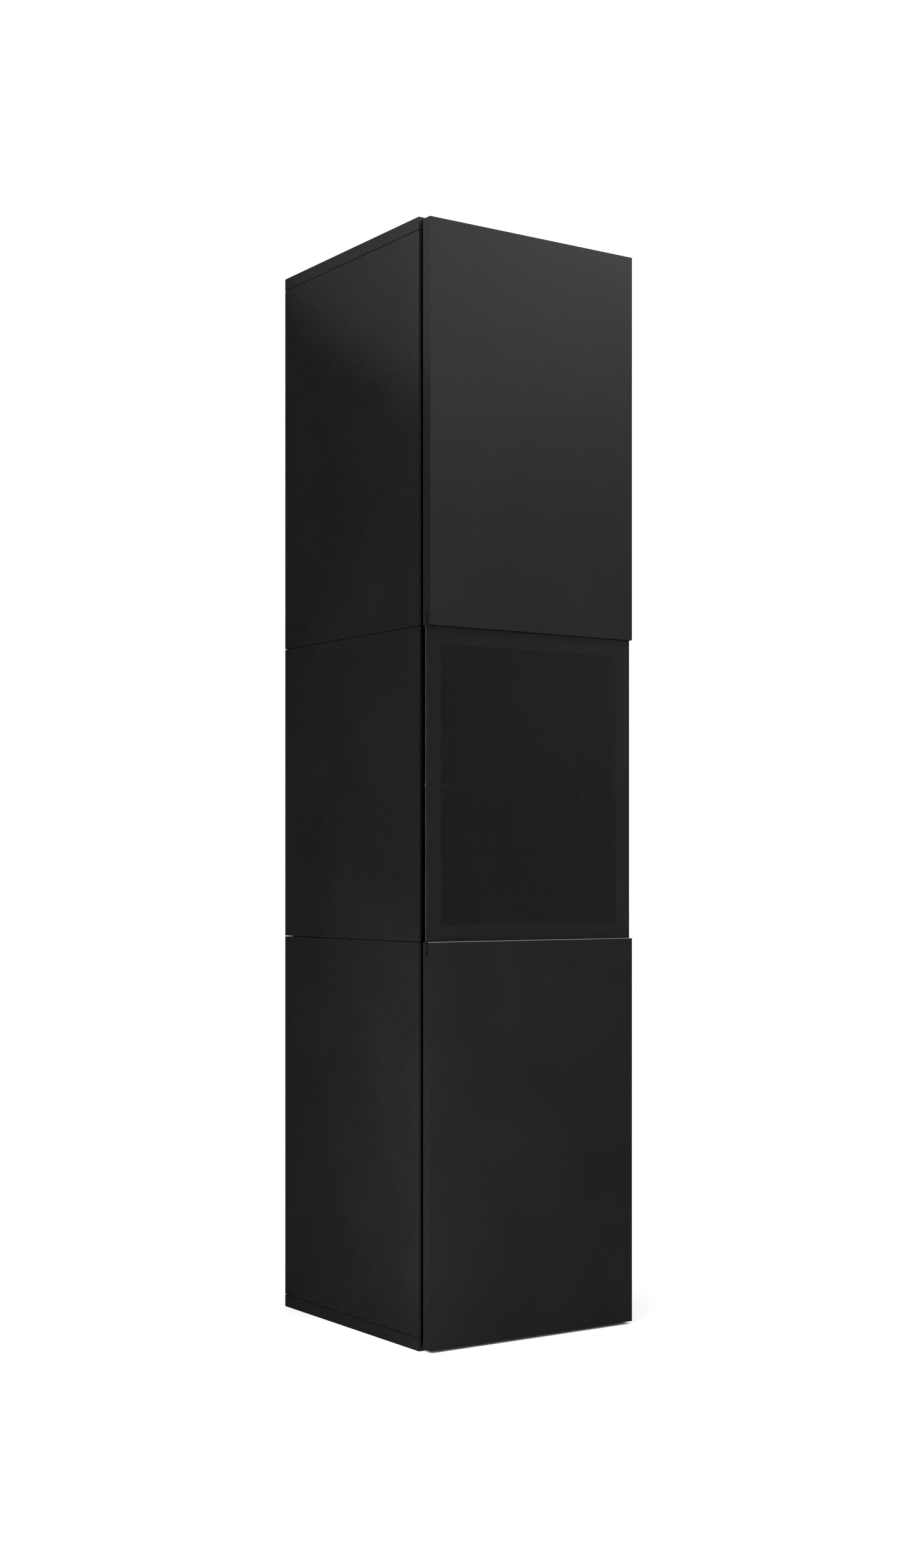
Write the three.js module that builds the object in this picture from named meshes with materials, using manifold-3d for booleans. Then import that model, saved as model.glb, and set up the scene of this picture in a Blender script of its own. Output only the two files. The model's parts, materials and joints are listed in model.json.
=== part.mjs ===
// Narrow tall cabinet: a stacked-board case, fixed dividers, adjustable shelves and one tall door
// made of a board, a glass pane and another board, on four cup hinges and two push latches.
// Millimetres. X runs across the front, Y from the front (-) to the back (+), Z up.
// The origin is on the floor, in the middle of the width and of the depth.
import * as THREE from 'three';
import { mergeVertices } from 'three/addons/utils/BufferGeometryUtils.js';
import Module from 'manifold-3d';

const wasm = await Module();
wasm.setup();

// ---------------------------------------------------------------- driving dimensions
const WIDTH = 370; // case, side to side
const HEIGHT = 1600; // case, floor to top
const CASE_DEPTH = 382; // case, front edges to rear edges
const BOARD = 18; // thickness of the case boards and shelves
const WINDOW_HEIGHT = 446; // middle section, between the two seams
const SEAM = 0.9; // open line between two case boards that meet in view
const FIT = 0.2; // gap left where a hidden board meets its neighbour
const LIP = 4; // flat front edge left outside the bevel round the case opening

const DOOR_BOARD = 18; // thickness of the door boards
const DOOR_GAP = 5; // between the case's front edges and the door's back
const DOOR_REVEAL = 4; // the door stops this far inside the case's outline
const GLASS = 6; // door pane thickness
const GLASS_SETBACK = 6; // from the door's front face to the pane's front face
const GLASS_SIDE_SETBACK = 0.5; // from the door's side edge to the pane's side edge
const GROOVE_PLAY = 0.3; // each side of the pane in its groove
const GROOVE_DEPTH = 20; // groove in the door boards' edges
const GLASS_END_PLAY = 0.3; // from the pane's edge to where the groove's bottom starts to round

const BACK_PANEL = 3; // fibreboard thickness
const BACK_INSET = 18; // from the case's rear edges to the back panel
const BACK_GROOVE = 6; // depth of the groove that holds it
const BACK_PLAY = 0.3; // each side of the back panel in its groove

const DIVIDER_SETBACK = 6; // from the end of the front bevel to the dividers
const SHELF_SETBACK = 24; // from the end of the front bevel to the shelves
const SHELF_SIDE_GAP = 1.6; // between a shelf and the side wall
const SHELF_BACK_GAP = 2; // between a shelf and the back panel
const GLASS_SHELF = 6; // thickness of the glass shelf

const PIN_RADIUS = 2.4; // shelf pin
const PIN_HOLE_PLAY = 0.2; // round the pin in its hole
const PIN_IN_WALL = 8; // length of pin in the side wall
const PIN_OUT = 9; // length of pin that carries the shelf
const PIN_COLLAR_RADIUS = 4;
const PIN_COLLAR = 1.2; // thickness of the collar against the wall
const PIN_HOLE_PITCH = 64; // between the holes of one row
const PIN_HOLES = 3; // holes in one row, the shelf using the middle one
const PIN_FROM_SHELF_END = 40; // pin to the shelf's front or rear edge

const HINGE_FROM_END = 100; // hinge centre to the far end of its door board
const HINGE_FROM_WINDOW = 108; // hinge centre to the window end of its door board
const CUP_RADIUS = 17.2; // outside of the cup
const CUP_WALL = 0.8;
const CUP_DEPTH = 12; // outside depth, below the door's back face
const CUP_FLOOR = 0.6;
const CUP_BORE_PLAY = 0.4; // round and under the cup in the door board
const CUP_CENTRE = 21.5; // from the door's side edge
const CUP_FLANGE = 1; // flange thickness, on the door's back face
const CUP_FLANGE_HEIGHT = 58; // flange, along the door
const CUP_FLANGE_WIDTH = 24; // flange wings, across the door
const HINGE_PIN_RADIUS = 1.25;
const HINGE_PIN_EDGE = 10; // hinge pin to the door's side edge
const HINGE_PIN_DEPTH = 8.5; // hinge pin below the door's back face
const HINGE_EYE_RADIUS = 2.5;
const HINGE_EYE_PLAY = 0.35; // between the pin and the arm's eye
const ARM_THICKNESS = 2.4;
const ARM_WIDTH = 11; // along the door
const ARM_REACH = 16; // from the pin to the arm's upright, clear of the door's corner
const ARM_RISE = 17; // height of the arm's upright
const ARM_SHOULDER = 8; // depth over which the arm slopes back to the side wall
const ARM_LENGTH = 64; // from the door's back face to the arm's rear end
const PLATE_THICKNESS = 4.5;
const PLATE_WIDTH = 20; // along the door
const PLATE_LENGTH = 34;
const PLATE_WING_HEIGHT = 46; // screw wings, along the door
const PLATE_WING_LENGTH = 14;
const PLATE_WING_THICKNESS = 2;
const HARDWARE_GAP = 0.3; // between hardware and what it is screwed to

const LATCH_WIDTH = 16;
const LATCH_HEIGHT = 14;
const LATCH_LENGTH = 62;
const LATCH_FROM_EDGE = 46; // latch centre to the door's free edge
const PLUNGER_RADIUS = 3.2;
const PLUNGER_PLAY = 0.35;
const PLUNGER_TRAVEL = 4; // how far the plunger goes in
const PLUNGER_LENGTH = 58;
const PLUNGER_TIP_RADIUS = 2;
const PLUNGER_STRIKE_GAP = 0.3;
const STRIKE_SIZE = 16;
const STRIKE_THICKNESS = 1;

const HANGER_WIDTH = 15; // across the cabinet
const HANGER_HEIGHT = 56;
const HANGER_LENGTH = 44; // front to back, inside the cabinet
const HANGER_FROM_TOP = 12; // below the top board
const HOOK_WIDTH = 9;
const HOOK_THICKNESS = 3;
const HOOK_REACH = 14; // behind the back panel
const HOOK_DROP = 12; // the hook's downturned end
const HOOK_HEIGHT = 22; // of the plate that passes through the back panel
const NOTCH_PLAY = 1.2; // round the hook in the back panel's notch

// ---------------------------------------------------------------- places that follow from them
const DEPTH = CASE_DEPTH + DOOR_GAP + DOOR_BOARD;
const DOOR_FRONT_Y = -DEPTH / 2;
const DOOR_BACK_Y = DOOR_FRONT_Y + DOOR_BOARD;
const CASE_FRONT_Y = DOOR_BACK_Y + DOOR_GAP;
const CASE_BACK_Y = DEPTH / 2;
const BEVEL = BOARD - LIP; // 45 degree bevel, so as deep as it is wide
const BEVEL_END_Y = CASE_FRONT_Y + BEVEL;
const INNER_X = WIDTH / 2 - BOARD; // inner faces of the side walls
const FLOOR_Z = BOARD; // inner face of the bottom board
const CEILING_Z = HEIGHT - BOARD; // inner face of the top board
const LOWER_SEAM_Z = (HEIGHT - WINDOW_HEIGHT) / 2;
const UPPER_SEAM_Z = LOWER_SEAM_Z + WINDOW_HEIGHT;
const BACK_PANEL_REAR_Y = CASE_BACK_Y - BACK_INSET;
const BACK_PANEL_FRONT_Y = BACK_PANEL_REAR_Y - BACK_PANEL;
const DOOR_X = WIDTH / 2 - DOOR_REVEAL; // side edges of the door
const DIVIDER_FRONT_Y = BEVEL_END_Y + DIVIDER_SETBACK;
const SHELF_FRONT_Y = BEVEL_END_Y + SHELF_SETBACK;
const SHELF_BACK_Y = BACK_PANEL_FRONT_Y - SHELF_BACK_GAP;
const LOWER_SHELF_Z = (FLOOR_Z + LOWER_SEAM_Z - BOARD / 2) / 2; // middle of the section
const UPPER_SHELF_Z = (UPPER_SEAM_Z + BOARD / 2 + CEILING_Z) / 2;
const GLASS_SHELF_Z = HEIGHT / 2;

const SECTIONS = [
  { name: 'lower', bottom: FLOOR_Z + SEAM, top: LOWER_SEAM_Z - SEAM / 2 },
  { name: 'middle', bottom: LOWER_SEAM_Z + SEAM / 2, top: UPPER_SEAM_Z - SEAM / 2 },
  { name: 'upper', bottom: UPPER_SEAM_Z + SEAM / 2, top: CEILING_Z - SEAM },
];
const SHELVES = [
  { name: 'shelf_lower', z: LOWER_SHELF_Z, thickness: BOARD, look: 'melamine' },
  { name: 'glass_shelf', z: GLASS_SHELF_Z, thickness: GLASS_SHELF, look: 'shelfGlass' },
  { name: 'shelf_upper', z: UPPER_SHELF_Z, thickness: BOARD, look: 'melamine' },
];
const DOOR_BOARDS = [
  { name: 'door_board_lower', bottom: DOOR_REVEAL, top: LOWER_SEAM_Z, grooveEdge: 'top' },
  { name: 'door_board_upper', bottom: UPPER_SEAM_Z, top: HEIGHT - DOOR_REVEAL, grooveEdge: 'bottom' },
];
const HINGE_HEIGHTS = [
  DOOR_REVEAL + HINGE_FROM_END,
  LOWER_SEAM_Z - HINGE_FROM_WINDOW,
  UPPER_SEAM_Z + HINGE_FROM_WINDOW,
  HEIGHT - DOOR_REVEAL - HINGE_FROM_END,
];
// Pin heights: the top of the pin is the underside of its shelf.
const pinZ = (shelf) => shelf.z - shelf.thickness / 2 - PIN_RADIUS;
const PIN_ROWS_Y = [SHELF_FRONT_Y + PIN_FROM_SHELF_END, SHELF_BACK_Y - PIN_FROM_SHELF_END];

// ---------------------------------------------------------------- looks
const LOOKS = {
  melamine: new THREE.MeshStandardMaterial({ color: 0x232323, roughness: 0.62, metalness: 0 }),
  fibreboard: new THREE.MeshStandardMaterial({ color: 0x1e1e1e, roughness: 0.8, metalness: 0 }),
  doorGlass: new THREE.MeshStandardMaterial({ color: 0x22201d, roughness: 0.08, metalness: 0 }),
  shelfGlass: new THREE.MeshStandardMaterial({ color: 0x4a5350, roughness: 0.06, metalness: 0 }),
  steel: new THREE.MeshStandardMaterial({ color: 0xb9b9b6, roughness: 0.3, metalness: 1 }),
  plastic: new THREE.MeshStandardMaterial({ color: 0x2b2b2d, roughness: 0.5, metalness: 0 }),
};

// ---------------------------------------------------------------- solids
function solidOf(geometry) {
  const bare = geometry.clone();
  bare.deleteAttribute('normal');
  bare.deleteAttribute('uv');
  const merged = mergeVertices(bare, 1e-4);
  return new wasm.Manifold(new wasm.Mesh({
    numProp: 3,
    vertProperties: new Float32Array(merged.attributes.position.array),
    triVerts: new Uint32Array(merged.index.array),
  }));
}

function geometryOf(solid) {
  const mesh = solid.getMesh();
  const geometry = new THREE.BufferGeometry();
  geometry.setAttribute('position', new THREE.BufferAttribute(mesh.vertProperties, 3));
  geometry.setIndex(new THREE.BufferAttribute(mesh.triVerts, 1));
  geometry.computeVertexNormals();
  return geometry;
}

// A box between two corners.
function boxBetween(low, high) {
  const size = high.map((value, axis) => value - low[axis]);
  const box = new THREE.BoxGeometry(...size);
  box.translate((low[0] + high[0]) / 2, (low[1] + high[1]) / 2, (low[2] + high[2]) / 2);
  return box;
}

// A cylinder along X, Y or Z, from one coordinate on that axis to another.
function rod(axis, radius, from, to, centre, sides = 24, tipRadius = radius) {
  const cylinder = new THREE.CylinderGeometry(tipRadius, radius, to - from, sides);
  if (axis === 'x') cylinder.rotateZ(-Math.PI / 2);
  if (axis === 'z') cylinder.rotateX(Math.PI / 2);
  const middle = (from + to) / 2;
  const place = {
    x: [middle, centre[0], centre[1]],
    y: [centre[0], middle, centre[1]],
    z: [centre[0], centre[1], middle],
  }[axis];
  cylinder.translate(...place);
  return cylinder;
}

// An outline in the X-Y plane, extruded along Z about z = 0.
function plateFrom(points, height) {
  const shape = new THREE.Shape(points.map(([x, y]) => new THREE.Vector2(x, y)));
  const geometry = new THREE.ExtrudeGeometry(shape, { depth: height, bevelEnabled: false });
  geometry.translate(0, 0, -height / 2);
  return geometry;
}

// The outline of a strip of one thickness that follows a path, with mitred corners.
function stripOutline(path, thickness) {
  const left = [];
  const right = [];
  path.forEach(([x, y], index) => {
    const before = path[Math.max(index - 1, 0)];
    const after = path[Math.min(index + 1, path.length - 1)];
    const into = new THREE.Vector2(x - before[0], y - before[1]).normalize();
    const out = new THREE.Vector2(after[0] - x, after[1] - y).normalize();
    const along = into.clone().add(out).normalize();
    const reach = thickness / 2 / Math.max(along.dot(index === 0 ? out : into), 0.5);
    left.push([x - along.y * reach, y + along.x * reach]);
    right.unshift([x + along.y * reach, y - along.x * reach]);
  });
  return left.concat(right);
}

const cabinet = new THREE.Group();
const caseGroup = new THREE.Group();
const doorGroup = new THREE.Group();
cabinet.add(caseGroup, doorGroup);

function addMesh(group, name, geometry, look, position = [0, 0, 0]) {
  const mesh = new THREE.Mesh(geometry, LOOKS[look].clone());
  mesh.name = name;
  mesh.position.set(...position);
  group.add(mesh);
  return mesh;
}

// ---------------------------------------------------------------- case boards
// The case opening flares towards the front: this frustum cuts the 45 degree bevel on all four
// sides of it. It runs one millimetre past both of its ends.
function frontFlare() {
  const past = 1;
  const rings = [CASE_FRONT_Y - past, BEVEL_END_Y + past].map((y) => {
    const inset = LIP + (y - CASE_FRONT_Y);
    const x = WIDTH / 2 - inset;
    return [[-x, y, inset], [x, y, inset], [x, y, HEIGHT - inset], [-x, y, HEIGHT - inset]];
  });
  const corners = rings.flat().flat();
  const faces = [
    0, 1, 2, 0, 2, 3,
    4, 6, 5, 4, 7, 6,
    0, 5, 1, 0, 4, 5,
    1, 6, 2, 1, 5, 6,
    2, 7, 3, 2, 6, 7,
    3, 4, 0, 3, 7, 4,
  ];
  return new wasm.Manifold(new wasm.Mesh({
    numProp: 3,
    vertProperties: new Float32Array(corners),
    triVerts: new Uint32Array(faces),
  }));
}

// The room that the back panel takes in the boards round it.
function backPanelRoom() {
  const x = INNER_X + BACK_GROOVE;
  return boxBetween(
    [-x, BACK_PANEL_FRONT_Y - BACK_PLAY, FLOOR_Z - BACK_GROOVE],
    [x, BACK_PANEL_REAR_Y + BACK_PLAY, CEILING_Z + BACK_GROOVE],
  );
}

const flare = frontFlare();
const backRoom = solidOf(backPanelRoom());

function addCapBoards() {
  const caps = [
    { name: 'bottom_board', bottom: 0, top: BOARD },
    { name: 'top_board', bottom: HEIGHT - BOARD, top: HEIGHT },
  ];
  for (const cap of caps) {
    const board = solidOf(boxBetween(
      [-WIDTH / 2, CASE_FRONT_Y, cap.bottom],
      [WIDTH / 2, CASE_BACK_Y, cap.top],
    ));
    addMesh(caseGroup, cap.name, geometryOf(board.subtract(flare).subtract(backRoom)), 'melamine');
  }
}

// Holes for the shelf pins of one section, in the side wall on one side.
function pinHoles(side, shelf) {
  const radius = PIN_RADIUS + PIN_HOLE_PLAY;
  const inner = side * INNER_X;
  const outer = side * (INNER_X + PIN_IN_WALL + PIN_HOLE_PLAY);
  const from = Math.min(inner - side, outer);
  const to = Math.max(inner - side, outer);
  const holes = [];
  for (const y of PIN_ROWS_Y) {
    for (let step = 0; step < PIN_HOLES; step += 1) {
      const z = pinZ(shelf) + (step - (PIN_HOLES - 1) / 2) * PIN_HOLE_PITCH;
      holes.push(solidOf(rod('x', radius, from, to, [y, z], 12)));
    }
  }
  return holes;
}

function addSideWalls() {
  for (const [sideName, side] of [['left', -1], ['right', 1]]) {
    SECTIONS.forEach((section, index) => {
      const outer = side * WIDTH / 2;
      const inner = side * INNER_X;
      let wall = solidOf(boxBetween(
        [Math.min(outer, inner), CASE_FRONT_Y, section.bottom],
        [Math.max(outer, inner), CASE_BACK_Y, section.top],
      ));
      wall = wall.subtract(flare).subtract(backRoom);
      for (const hole of pinHoles(side, SHELVES[index])) wall = wall.subtract(hole);
      addMesh(caseGroup, `side_${sideName}_${section.name}`, geometryOf(wall), 'melamine');
    });
  }
}

function addDividers() {
  const size = [
    2 * (INNER_X - FIT),
    BACK_PANEL_FRONT_Y - FIT - DIVIDER_FRONT_Y,
    BOARD,
  ];
  const y = DIVIDER_FRONT_Y + size[1] / 2;
  addMesh(caseGroup, 'divider_lower', new THREE.BoxGeometry(...size), 'melamine', [0, y, LOWER_SEAM_Z]);
  addMesh(caseGroup, 'divider_upper', new THREE.BoxGeometry(...size), 'melamine', [0, y, UPPER_SEAM_Z]);
}

// ---------------------------------------------------------------- back panel and hangers
const HANGER_TOP_Z = CEILING_Z - HANGER_FROM_TOP;
const HOOK_X = INNER_X - FIT - HANGER_WIDTH / 2; // middle of a hanger, from the cabinet's middle
const HOOK_Z = HANGER_TOP_Z - HANGER_HEIGHT / 2; // middle of the plate through the back panel

function addBackPanel() {
  const reach = BACK_GROOVE - FIT;
  let panel = solidOf(boxBetween(
    [-INNER_X - reach, BACK_PANEL_FRONT_Y, FLOOR_Z - reach],
    [INNER_X + reach, BACK_PANEL_REAR_Y, CEILING_Z + reach],
  ));
  for (const side of [-1, 1]) {
    const half = HOOK_WIDTH / 2 + NOTCH_PLAY;
    panel = panel.subtract(solidOf(boxBetween(
      [side * HOOK_X - half, BACK_PANEL_FRONT_Y - 1, HOOK_Z - HOOK_HEIGHT / 2 - NOTCH_PLAY],
      [side * HOOK_X + half, BACK_PANEL_REAR_Y + 1, HOOK_Z + HOOK_HEIGHT / 2 + NOTCH_PLAY],
    )));
  }
  addMesh(caseGroup, 'back_panel', geometryOf(panel), 'fibreboard');
}

// A housing screwed to the side wall, with a steel hook that reaches through the back panel and
// turns down behind it, over the wall rail. Built about the hook's own middle.
function hangerGeometry() {
  const frontOfPanel = BACK_PANEL_FRONT_Y - FIT;
  const behindPanel = BACK_PANEL_REAR_Y + HOOK_REACH;
  const housing = solidOf(boxBetween(
    [-HANGER_WIDTH / 2, frontOfPanel - HANGER_LENGTH, HOOK_Z - HANGER_HEIGHT / 2],
    [HANGER_WIDTH / 2, frontOfPanel, HOOK_Z + HANGER_HEIGHT / 2],
  ));
  const plate = solidOf(boxBetween(
    [-HOOK_WIDTH / 2, frontOfPanel - 1, HOOK_Z],
    [HOOK_WIDTH / 2, behindPanel, HOOK_Z + HOOK_HEIGHT / 2],
  ));
  const turnedDown = solidOf(boxBetween(
    [-HOOK_WIDTH / 2, behindPanel - HOOK_THICKNESS, HOOK_Z - HOOK_DROP],
    [HOOK_WIDTH / 2, behindPanel, HOOK_Z + 1],
  ));
  return geometryOf(housing.add(plate).add(turnedDown));
}

function addHangers() {
  for (const [name, side] of [['hanger_left', -1], ['hanger_right', 1]]) {
    addMesh(caseGroup, name, hangerGeometry(), 'steel', [side * HOOK_X, 0, 0]);
  }
}

// ---------------------------------------------------------------- shelves and their pins
function addShelves() {
  const width = 2 * (INNER_X - SHELF_SIDE_GAP);
  const depth = SHELF_BACK_Y - SHELF_FRONT_Y;
  for (const shelf of SHELVES) {
    const board = new THREE.BoxGeometry(width, depth, shelf.thickness);
    addMesh(caseGroup, shelf.name, board, shelf.look, [0, SHELF_FRONT_Y + depth / 2, shelf.z]);
  }
}

// A pin with a collar, lying along X with its collar against a wall at x = 0 and its working end
// towards +X.
function shelfPinGeometry() {
  const shank = solidOf(rod('x', PIN_RADIUS, -PIN_IN_WALL, PIN_OUT, [0, 0], 12));
  const collar = solidOf(rod('x', PIN_COLLAR_RADIUS, FIT / 2, PIN_COLLAR, [0, 0], 12));
  return geometryOf(shank.add(collar));
}

function addShelfPins() {
  for (const shelf of SHELVES) {
    const section = shelf.name.replace('shelf_', '').replace('glass_shelf', 'glass');
    for (const [sideName, side] of [['left', -1], ['right', 1]]) {
      for (const [rowName, y] of [['front', PIN_ROWS_Y[0]], ['rear', PIN_ROWS_Y[1]]]) {
        const name = `shelf_pin_${section}_${sideName}_${rowName}`;
        const pin = addMesh(caseGroup, name, shelfPinGeometry(), 'steel', [side * INNER_X, y, pinZ(shelf)]);
        pin.rotation.z = side > 0 ? Math.PI : 0;
      }
    }
  }
}

// ---------------------------------------------------------------- door
// The groove that holds an edge of the pane, with a half-round bottom. Its mouth is at z = 0 and
// it runs down from there, along the whole width.
function grooveSolid() {
  const half = GLASS / 2 + GROOVE_PLAY;
  const arcSteps = 8;
  const outline = [[-half, 1], [-half, half - GROOVE_DEPTH]];
  for (let step = 1; step < arcSteps; step += 1) {
    const angle = Math.PI + (Math.PI * step) / arcSteps;
    outline.push([half * Math.cos(angle), half - GROOVE_DEPTH + half * Math.sin(angle)]);
  }
  outline.push([half, half - GROOVE_DEPTH], [half, 1]);
  const groove = plateFrom(outline, WIDTH);
  groove.rotateX(Math.PI / 2);
  groove.rotateZ(Math.PI / 2);
  return groove;
}

const GLASS_MIDDLE_Y = DOOR_FRONT_Y + GLASS_SETBACK + GLASS / 2;
const CUP_X = DOOR_X - CUP_CENTRE;
const PIVOT_X = DOOR_X - HINGE_PIN_EDGE;
const PIVOT_Y = DOOR_BACK_Y - HINGE_PIN_DEPTH;

function addDoorBoards() {
  for (const part of DOOR_BOARDS) {
    let board = solidOf(boxBetween(
      [-DOOR_X, DOOR_FRONT_Y, part.bottom],
      [DOOR_X, DOOR_BACK_Y, part.top],
    ));
    const groove = grooveSolid();
    if (part.grooveEdge === 'bottom') groove.rotateX(Math.PI);
    groove.translate(0, GLASS_MIDDLE_Y, part.grooveEdge === 'top' ? part.top : part.bottom);
    board = board.subtract(solidOf(groove));
    for (const z of HINGE_HEIGHTS.filter((height) => height > part.bottom && height < part.top)) {
      const radius = CUP_RADIUS + CUP_BORE_PLAY;
      const deep = DOOR_BACK_Y - CUP_DEPTH - CUP_BORE_PLAY;
      board = board.subtract(solidOf(rod('y', radius, deep, DOOR_BACK_Y + 1, [CUP_X, z], 40)));
    }
    addMesh(doorGroup, part.name, geometryOf(board), 'melamine');
  }
}

function addDoorGlass() {
  const width = 2 * (DOOR_X - GLASS_SIDE_SETBACK);
  const seat = GROOVE_DEPTH - GLASS / 2 - GROOVE_PLAY - GLASS_END_PLAY;
  const height = WINDOW_HEIGHT + 2 * seat;
  const pane = new THREE.BoxGeometry(width, GLASS, height);
  addMesh(doorGroup, 'door_glass', pane, 'doorGlass', [0, GLASS_MIDDLE_Y, HEIGHT / 2]);
}

// ---------------------------------------------------------------- cup hinges
// A pressed cup with a flange and a pin across it. Its origin is on the door's back face at the
// cup's centre, with the cup going down -Y and the door's side edge towards +X.
function hingeCupGeometry() {
  const halfWing = CUP_FLANGE_WIDTH / 2;
  const halfHeight = CUP_FLANGE_HEIGHT / 2;
  const outside = solidOf(rod('y', CUP_RADIUS, -CUP_DEPTH, CUP_FLANGE, [0, 0], 40));
  const wings = solidOf(boxBetween([-halfWing, 0, -halfHeight], [halfWing, CUP_FLANGE, halfHeight]));
  const rim = solidOf(rod('y', CUP_RADIUS + CUP_BORE_PLAY + 1, 0, CUP_FLANGE, [0, 0], 40));
  const inner = CUP_RADIUS - CUP_WALL;
  const hollow = solidOf(rod('y', inner, CUP_FLOOR - CUP_DEPTH, CUP_FLANGE + 1, [0, 0], 40));
  const pinX = CUP_CENTRE - HINGE_PIN_EDGE;
  const halfPin = Math.sqrt(inner * inner - pinX * pinX) + CUP_WALL / 2;
  const pin = solidOf(rod('z', HINGE_PIN_RADIUS, -halfPin, halfPin, [pinX, -HINGE_PIN_DEPTH], 16));
  return geometryOf(outside.add(rim).add(wings).subtract(hollow).add(pin));
}

// A bent steel arm. Its origin is on the hinge pin, +X towards the side wall, +Y into the cabinet.
function hingeArmGeometry() {
  const wallX = INNER_X - PIVOT_X; // inner face of the side wall
  const barX = wallX - HARDWARE_GAP - PLATE_THICKNESS - HARDWARE_GAP - ARM_THICKNESS / 2;
  const endY = HINGE_PIN_DEPTH + ARM_LENGTH;
  const path = [
    [0, 0],
    [-ARM_REACH, 0],
    [-ARM_REACH, ARM_RISE],
    [barX, ARM_RISE + ARM_SHOULDER],
    [barX, endY],
  ];
  const strip = plateFrom(stripOutline(path, ARM_THICKNESS), ARM_WIDTH);
  const half = ARM_WIDTH / 2;
  const eye = solidOf(rod('z', HINGE_EYE_RADIUS, -half, half, [0, 0], 24));
  const hole = solidOf(rod('z', HINGE_PIN_RADIUS + HINGE_EYE_PLAY, -half - 1, half + 1, [0, 0], 24));
  return geometryOf(solidOf(strip).add(eye).subtract(hole));
}

// The mounting plate: a raised bar under the arm with a pair of screw wings.
function hingePlateGeometry() {
  const from = ARM_LENGTH - PLATE_LENGTH;
  const bar = solidOf(boxBetween(
    [-HARDWARE_GAP - PLATE_THICKNESS, from, -PLATE_WIDTH / 2],
    [-HARDWARE_GAP, ARM_LENGTH, PLATE_WIDTH / 2],
  ));
  const middle = from + PLATE_LENGTH / 2;
  const wings = solidOf(boxBetween(
    [-HARDWARE_GAP - PLATE_WING_THICKNESS, middle - PLATE_WING_LENGTH / 2, -PLATE_WING_HEIGHT / 2],
    [-HARDWARE_GAP, middle + PLATE_WING_LENGTH / 2, PLATE_WING_HEIGHT / 2],
  ));
  return geometryOf(bar.add(wings));
}

function addHinges() {
  HINGE_HEIGHTS.forEach((z, index) => {
    const number = index + 1;
    addMesh(doorGroup, `hinge_cup_${number}`, hingeCupGeometry(), 'steel', [CUP_X, DOOR_BACK_Y, z]);
    addMesh(caseGroup, `hinge_arm_${number}`, hingeArmGeometry(), 'steel', [PIVOT_X, PIVOT_Y, z]);
    addMesh(caseGroup, `hinge_plate_${number}`, hingePlateGeometry(), 'steel', [INNER_X, DOOR_BACK_Y, z]);
  });
}

// ---------------------------------------------------------------- push latches
const LATCH_X = -DOOR_X + LATCH_FROM_EDGE;
const LATCH_FRONT_Y = BEVEL_END_Y + DIVIDER_SETBACK;
const STRIKE_FACE_Y = DOOR_BACK_Y + STRIKE_THICKNESS;
const PLUNGER_TIP_Y = STRIKE_FACE_Y + PLUNGER_STRIKE_GAP;

function latchHousingGeometry() {
  const body = solidOf(boxBetween(
    [-LATCH_WIDTH / 2, LATCH_FRONT_Y, -LATCH_HEIGHT / 2],
    [LATCH_WIDTH / 2, LATCH_FRONT_Y + LATCH_LENGTH, LATCH_HEIGHT / 2],
  ));
  const boreEnd = PLUNGER_TIP_Y + PLUNGER_LENGTH + PLUNGER_TRAVEL + 1;
  const bore = rod('y', PLUNGER_RADIUS + PLUNGER_PLAY, LATCH_FRONT_Y - 1, boreEnd, [0, 0]);
  return geometryOf(body.subtract(solidOf(bore)));
}

function plungerGeometry() {
  const nose = 3; // length of the tapered end
  const shank = rod('y', PLUNGER_RADIUS, PLUNGER_TIP_Y + nose, PLUNGER_TIP_Y + PLUNGER_LENGTH, [0, 0]);
  const tip = rod('y', PLUNGER_RADIUS, -nose - 0.5, 0, [0, 0], 24, PLUNGER_TIP_RADIUS);
  tip.rotateX(Math.PI);
  tip.translate(0, PLUNGER_TIP_Y, 0);
  return geometryOf(solidOf(shank).add(solidOf(tip)));
}

function addLatches() {
  const rise = LATCH_HEIGHT / 2 + HARDWARE_GAP;
  for (const [name, z] of [['lower', FLOOR_Z + rise], ['upper', CEILING_Z - rise]]) {
    addMesh(caseGroup, `latch_housing_${name}`, latchHousingGeometry(), 'plastic', [LATCH_X, 0, z]);
    addMesh(caseGroup, `latch_plunger_${name}`, plungerGeometry(), 'plastic', [LATCH_X, 0, z]);
    const strike = new THREE.BoxGeometry(STRIKE_SIZE, STRIKE_THICKNESS, STRIKE_SIZE);
    const strikeY = DOOR_BACK_Y + STRIKE_THICKNESS / 2;
    addMesh(doorGroup, `strike_plate_${name}`, strike, 'steel', [LATCH_X, strikeY, z]);
  }
}

addCapBoards();
addSideWalls();
addDividers();
addBackPanel();
addHangers();
addShelves();
addShelfPins();
addDoorBoards();
addDoorGlass();
addHinges();
addLatches();

export default cabinet;
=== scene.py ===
"""Looks of the narrow tall cabinet: materials, small fittings, floor, light and camera.

Everything is in metres, in the frame's own axes: +X to the right seen from the front, +Y from
the door to the wall, +Z up. Places come from the boxes of the frame's nodes.
"""

import json
import math

import bmesh
import bpy
from mathutils import Matrix, Vector


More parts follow.
